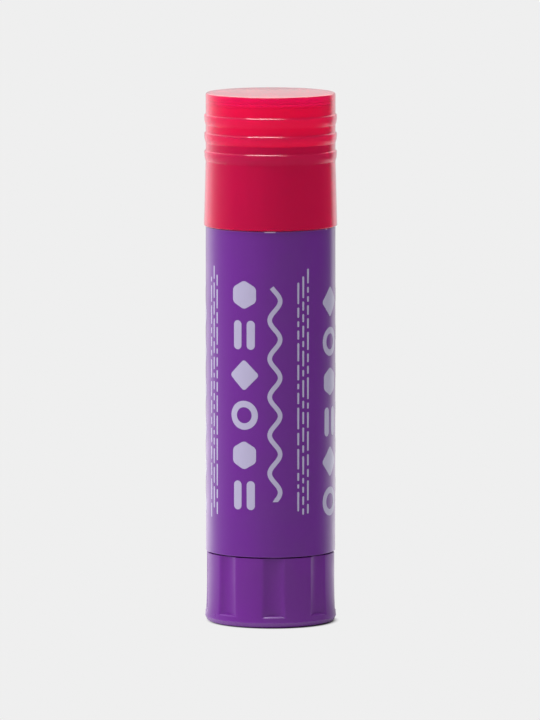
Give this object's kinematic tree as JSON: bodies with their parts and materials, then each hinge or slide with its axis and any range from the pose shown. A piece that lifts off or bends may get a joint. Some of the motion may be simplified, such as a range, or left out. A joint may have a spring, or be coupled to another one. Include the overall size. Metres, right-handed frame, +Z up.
{
  "type": "glue stick",
  "caption": "Twist-up glue stick: purple labelled barrel on a fluted turning base, with a lead screw and glue carrier inside and a ribbed see-through red push-on cap.",
  "frame": {"origin": "on the floor, at the centre of the ring that the base knob stands on", "axes": "+Z up along the stick, which is also the axis of every joint; -Y is the pictured front"},
  "size_m": [0.0216, 0.0216, 0.086],
  "materials": {
    "cap_clear_red": "see-through moulded polypropylene, soft gloss",
    "barrel_purple": "moulded polypropylene, satin",
    "label_film": "printed film, satin",
    "knob_purple": "moulded polypropylene, soft gloss",
    "inner_natural": "natural uncoloured moulded plastic",
    "glue_white": "waxy cast glue"
  },
  "bodies": {
    "barrel": {"barrel": "barrel_purple", "wrap_label": "label_film"},
    "knob": {"base_knob": "knob_purple", "spindle": "inner_natural"},
    "carriage": {"carrier": "inner_natural", "glue_stick": "glue_white"},
    "cap": {"cap": "cap_clear_red"}
  },
  "joints": [
    {"name": "knob_twist", "type": "hinge", "parent": "barrel", "child": "knob", "pos_m": [0, 0, 0], "axis": [0, 0, 1], "range_deg": [0, 3600]},
    {"name": "carrier_lift", "type": "slide", "parent": "barrel", "child": "carriage", "axis": [0, 0, 1], "range_m": [0, 0.052], "deforming": ["glue_stick"]},
    {"name": "cap_pull", "type": "slide", "parent": "barrel", "child": "cap", "axis": [0, 0, 1], "range_m": [0, 0.035]}
  ],
  "couplings": [
    {"joint": "carrier_lift", "follows": "knob_twist", "m_per_rad": 0.00082761}
  ]
}
